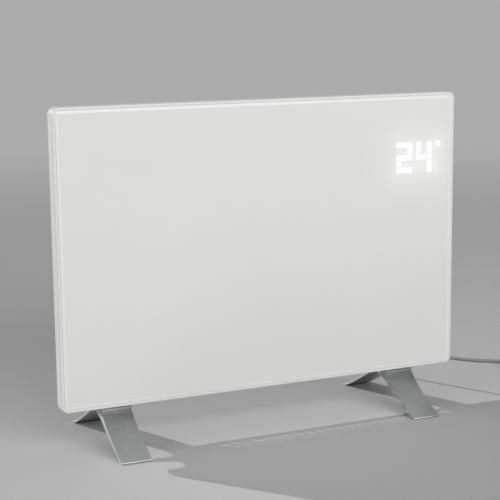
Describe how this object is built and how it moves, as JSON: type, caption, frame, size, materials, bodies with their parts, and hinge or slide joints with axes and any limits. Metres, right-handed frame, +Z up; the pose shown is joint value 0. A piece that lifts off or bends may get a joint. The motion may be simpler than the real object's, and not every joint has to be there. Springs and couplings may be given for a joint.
{
  "type": "panel convector heater",
  "caption": "White glass-fronted wall panel convector heater on arched aluminium feet, with a cell display, louvred outlet, finned element, rocker switch and mains lead.",
  "frame": {"origin": "on the floor, under the middle of the panel and midway between the front and rear tips of the feet", "axes": "+X to the right along the panel as seen from the front, +Y from the front to the back, +Z up"},
  "size_m": [1.0431, 0.3855, 0.568],
  "materials": {
    "glass_white": "tempered glass, painted white behind, gloss",
    "frame_white": "moulded white, semi-gloss",
    "tape": "black foam tape",
    "powder_white": "white powder coat on steel sheet",
    "diffuser": "milky light guide",
    "board": "green circuit board",
    "black_plastic": "fine satin",
    "white_plastic": "satin",
    "element_aluminium": "as extruded",
    "foot_aluminium": "satin extrusion, polished edges",
    "galvanised": "galvanised sheet",
    "steel": "zinc plated",
    "ceramic": "unglazed ceramic",
    "brass": "turned brass",
    "cord_grey": "mid grey PVC, satin",
    "nickel": "nickel plated",
    "pad_rubber": "matte black"
  },
  "bodies": {
    "root": {"front_glass": "glass_white", "glass_tape": "tape", "front_frame": "frame_white", "back_pan": "powder_white", "display_light_guide": "diffuser", "display_board": "board", "display_case": "black_plastic", "touch_board": "board", "rear_housing": "powder_white", "outlet_grille": "powder_white", "inlet_grille": "powder_white", "heating_element": "element_aluminium", "element_rod": "steel", "element_bracket_right": "galvanised", "element_bracket_left": "galvanised", "element_bush_right": "ceramic", "element_bush_left": "ceramic", "heat_shield": "galvanised", "thermal_cutout": "white_plastic", "air_sensor": "black_plastic", "control_box": "white_plastic", "power_board": "board", "relay_upper": "black_plastic", "relay_lower": "black_plastic", "board_capacitor": "black_plastic", "terminal_block": "white_plastic", "rocker_body": "black_plastic", "tilt_bracket": "galvanised", "tilt_pin": "steel", "tilt_microswitch": "black_plastic", "strain_relief": "cord_grey", "gland_nut": "black_plastic", "power_cord": "cord_grey", "cord_coil": "cord_grey", "plug_body": "cord_grey", "plug_pin_1": "nickel", "plug_pin_2": "nickel", "housing_screw_1": "steel", "housing_screw_2": "steel", "housing_screw_3": "steel", "housing_screw_4": "steel", "housing_screw_5": "steel", "housing_screw_6": "steel", "foot_left": "foot_aluminium", "foot_screw_left_1": "steel", "foot_screw_left_2": "steel", "foot_pad_left_front": "pad_rubber", "foot_pad_left_rear": "pad_rubber", "nut_plate_left": "steel", "foot_right": "foot_aluminium", "foot_screw_right_1": "steel", "foot_screw_right_2": "steel", "foot_pad_right_front": "pad_rubber", "foot_pad_right_rear": "pad_rubber", "nut_plate_right": "steel"},
    "rocker_key": {"rocker_key": "black_plastic"},
    "tilt_weight": {"tilt_weight": "brass"}
  },
  "joints": [
    {"name": "rocker_switch", "type": "hinge", "parent": "root", "child": "rocker_key", "pos_m": [0.3307, 0.01815, 0.233], "axis": [0, 1, 0], "range_deg": [0, 20]},
    {"name": "tilt_swing", "type": "hinge", "parent": "root", "child": "tilt_weight", "pos_m": [0.308, -0.0025, 0.1543], "axis": [1, 0, 0], "range_deg": [-20, 20]}
  ]
}
